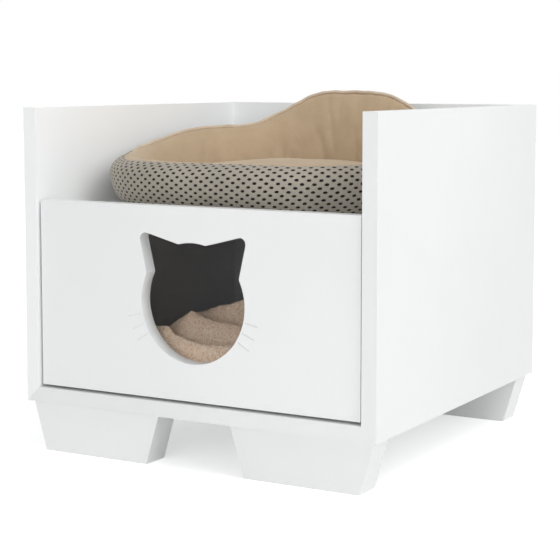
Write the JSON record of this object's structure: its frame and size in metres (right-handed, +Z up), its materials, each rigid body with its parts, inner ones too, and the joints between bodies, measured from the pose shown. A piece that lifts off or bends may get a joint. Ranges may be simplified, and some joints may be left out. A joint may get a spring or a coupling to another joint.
{
  "type": "cat bed with drawer",
  "caption": "White board cat cabinet on tapered feet: a stuffed bed in the open top, and below it a drawer with a blanket and a cat-head door in its front.",
  "frame": {"origin": "on the floor under the middle of the case", "axes": "+X to the right seen from the front, +Y to the back, +Z up; the drawer opens towards -Y"},
  "size_m": [0.5, 0.5, 0.4596],
  "materials": {
    "white_board": "smooth white melamine with a fine satin sheen",
    "grey_board": "light grey melamine board",
    "grey_hardboard": "light grey painted hardboard",
    "dowel_wood": "plain beech",
    "cam_zinc": "bare zinc casting",
    "fixing_steel": "bright zinc plate",
    "cage_steel": "pressed steel",
    "runner_steel": "zinc-plated sheet steel",
    "fleece": "curly pinkish-beige fleece",
    "dotted_fabric": "beige-grey woven fabric with small dark oval dots",
    "tan_plush": "short tan plush",
    "tan_piping": "light tan cord piping"
  },
  "bodies": {
    "cabinet": {"left_side_panel": "white_board", "right_side_panel": "white_board", "bottom_panel": "white_board", "back_panel": "white_board", "bed_shelf": "white_board", "front_left_foot": "white_board", "front_right_foot": "white_board", "back_left_foot": "white_board", "back_right_foot": "white_board", "foot_screws": "fixing_steel", "foot_dowels": "dowel_wood", "mitre_dowels": "dowel_wood", "shelf_dowels": "dowel_wood", "shelf_cam_bolts": "fixing_steel", "shelf_cam_locks": "cam_zinc", "back_dowels": "dowel_wood", "back_cam_bolts": "fixing_steel", "back_cam_locks": "cam_zinc", "left_runner_cabinet_member": "runner_steel", "right_runner_cabinet_member": "runner_steel", "runner_cabinet_screws": "fixing_steel"},
    "drawer": {"drawer_front": "white_board", "drawer_left_side": "grey_board", "drawer_right_side": "grey_board", "drawer_back": "grey_board", "drawer_floor": "grey_hardboard", "drawer_dowels": "dowel_wood", "drawer_cam_bolts": "fixing_steel", "drawer_cam_locks": "cam_zinc", "drawer_back_screws": "fixing_steel", "left_runner_drawer_member": "runner_steel", "right_runner_drawer_member": "runner_steel", "runner_drawer_screws": "fixing_steel", "blanket": "fleece"},
    "left_runner_middle": {"left_runner_middle_member": "runner_steel"},
    "right_runner_middle": {"right_runner_middle_member": "runner_steel"},
    "left_outer_cage": {"left_runner_outer_cage": "cage_steel"},
    "right_outer_cage": {"right_runner_outer_cage": "cage_steel"},
    "left_inner_cage": {"left_runner_inner_cage": "cage_steel"},
    "right_inner_cage": {"right_runner_inner_cage": "cage_steel"},
    "bed": {"bed_wall": "dotted_fabric", "bed_pad": "tan_plush", "bed_piping": "tan_piping"}
  },
  "joints": [
    {"name": "drawer_slide", "type": "slide", "parent": "cabinet", "child": "drawer", "axis": [0, -1, 0], "range_m": [0, 0.4]},
    {"name": "left_middle_slide", "type": "slide", "parent": "cabinet", "child": "left_runner_middle", "axis": [0, -1, 0], "range_m": [0, 0.2]},
    {"name": "left_outer_cage_slide", "type": "slide", "parent": "cabinet", "child": "left_outer_cage", "axis": [0, -1, 0], "range_m": [0, 0.1]},
    {"name": "left_inner_cage_slide", "type": "slide", "parent": "cabinet", "child": "left_inner_cage", "axis": [0, -1, 0], "range_m": [0, 0.3]},
    {"name": "right_middle_slide", "type": "slide", "parent": "cabinet", "child": "right_runner_middle", "axis": [0, -1, 0], "range_m": [0, 0.2]},
    {"name": "right_outer_cage_slide", "type": "slide", "parent": "cabinet", "child": "right_outer_cage", "axis": [0, -1, 0], "range_m": [0, 0.1]},
    {"name": "right_inner_cage_slide", "type": "slide", "parent": "cabinet", "child": "right_inner_cage", "axis": [0, -1, 0], "range_m": [0, 0.3]},
    {"name": "bed_lift", "type": "slide", "parent": "cabinet", "child": "bed", "axis": [0, 0, 1], "range_m": [0, 0.2]}
  ],
  "couplings": [
    {"joint": "left_middle_slide", "follows": "drawer_slide", "ratio": 0.5},
    {"joint": "left_outer_cage_slide", "follows": "drawer_slide", "ratio": 0.25},
    {"joint": "left_inner_cage_slide", "follows": "drawer_slide", "ratio": 0.75},
    {"joint": "right_middle_slide", "follows": "drawer_slide", "ratio": 0.5},
    {"joint": "right_outer_cage_slide", "follows": "drawer_slide", "ratio": 0.25},
    {"joint": "right_inner_cage_slide", "follows": "drawer_slide", "ratio": 0.75}
  ]
}
